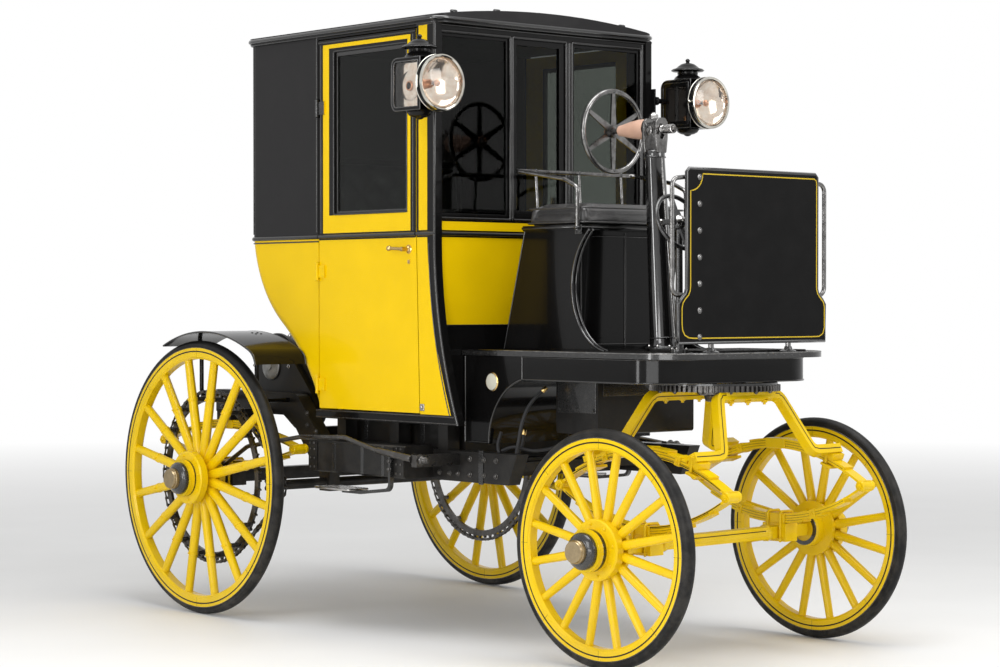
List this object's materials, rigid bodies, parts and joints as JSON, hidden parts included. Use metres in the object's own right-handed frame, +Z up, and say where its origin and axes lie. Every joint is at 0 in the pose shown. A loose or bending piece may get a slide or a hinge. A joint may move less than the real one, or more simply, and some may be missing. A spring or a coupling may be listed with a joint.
{
  "type": "battery-electric taxi cab",
  "caption": "Victorian battery-electric taxi cab: closed brougham body, open driver's seat in front, steered fore-carriage and spoked wheels.",
  "frame": {"origin": "on the ground, under the middle of the vehicle's outline seen from above", "axes": "+X forward, +Y to the vehicle's left, +Z up"},
  "size_m": [3.1829, 1.87, 2.4039],
  "materials": {
    "yellow_paint": "gloss",
    "black_paint": "gloss",
    "black_iron": "satin",
    "black_leathercloth": "satin",
    "black_leather": "satin",
    "wood": "satin",
    "glass": "gloss",
    "brass": "polished",
    "rubber": "matte"
  },
  "bodies": {
    "chassis": {"battery_box": "black_paint", "boot": "black_paint", "brake_stand": "black_iron", "cab_floor": "black_paint", "chains": "black_iron", "controller_box": "black_iron", "countershaft": "black_iron", "dash": "black_leather", "dash_rails": "black_iron", "door_heads": "black_paint", "driver_cushion": "black_leather", "front_glass": "glass", "front_pillars": "black_paint", "front_wall": "black_paint", "lamp_lenses": "glass", "lamps": "black_iron", "lower_body": "yellow_paint", "main_frame": "black_iron", "motor": "black_iron", "mudguards": "black_paint", "passenger_cushions": "black_leather", "passenger_seat": "wood", "platform": "black_paint", "radius_rods": "black_iron", "rear_axle": "black_iron", "rear_springs": "yellow_paint", "roof": "black_leathercloth", "seat_box": "black_paint", "seat_rail": "black_iron", "steering_column": "black_iron", "steps": "black_iron", "turntable_bed": "black_iron", "upper_body": "black_leathercloth", "valance": "black_paint"},
    "fore_carriage": {"front_axle": "yellow_paint", "front_springs": "yellow_paint", "spring_irons": "yellow_paint", "turntable_ring": "black_iron"},
    "handwheel": {"handwheel": "black_iron"},
    "wheel_rear_left": {"sprocket_left": "black_iron", "tyre_rear_left": "rubber", "wheel_rear_left": "yellow_paint"},
    "wheel_front_left": {"tyre_front_left": "rubber", "wheel_front_left": "yellow_paint"},
    "door_left": {"door_glass_left": "glass", "door_handle_left": "brass", "door_left": "yellow_paint"},
    "wheel_rear_right": {"sprocket_right": "black_iron", "tyre_rear_right": "rubber", "wheel_rear_right": "yellow_paint"},
    "wheel_front_right": {"tyre_front_right": "rubber", "wheel_front_right": "yellow_paint"},
    "door_right": {"door_glass_right": "glass", "door_handle_right": "brass", "door_right": "yellow_paint"}
  },
  "joints": [
    {"name": "steering", "type": "hinge", "parent": "chassis", "child": "fore_carriage", "pos_m": [1.14082, 0, 0.958], "axis": [0, 0, 1], "range_deg": [-33, 27]},
    {"name": "handwheel_turn", "type": "hinge", "parent": "chassis", "child": "handwheel", "pos_m": [0.60183, 0, 1.926], "axis": [1, 0, 0], "range_deg": [-216, 264]},
    {"name": "wheel_rear_left_spin", "type": "hinge", "parent": "chassis", "child": "wheel_rear_left", "pos_m": [-1.03218, 0.775, 0.56], "axis": [0, 1, 0], "continuous": true},
    {"name": "wheel_front_left_spin", "type": "hinge", "parent": "fore_carriage", "child": "wheel_front_left", "pos_m": [1.11021, 0.5842, 0.42], "axis": [-0.0523, 0.9986, 0], "continuous": true},
    {"name": "door_left_swing", "type": "hinge", "parent": "chassis", "child": "door_left", "pos_m": [-0.50918, 0.573, 1.35], "axis": [0, 0, 1], "range_deg": [0, 80]},
    {"name": "wheel_rear_right_spin", "type": "hinge", "parent": "chassis", "child": "wheel_rear_right", "pos_m": [-1.03218, -0.775, 0.56], "axis": [0, 1, 0], "continuous": true},
    {"name": "wheel_front_right_spin", "type": "hinge", "parent": "fore_carriage", "child": "wheel_front_right", "pos_m": [1.17144, -0.5842, 0.42], "axis": [-0.0523, 0.9986, 0], "continuous": true},
    {"name": "door_right_swing", "type": "hinge", "parent": "chassis", "child": "door_right", "pos_m": [-0.50918, -0.573, 1.35], "axis": [0, 0, -1], "range_deg": [0, 80]}
  ],
  "couplings": [
    {"joint": "handwheel_turn", "follows": "steering", "ratio": -8}
  ]
}
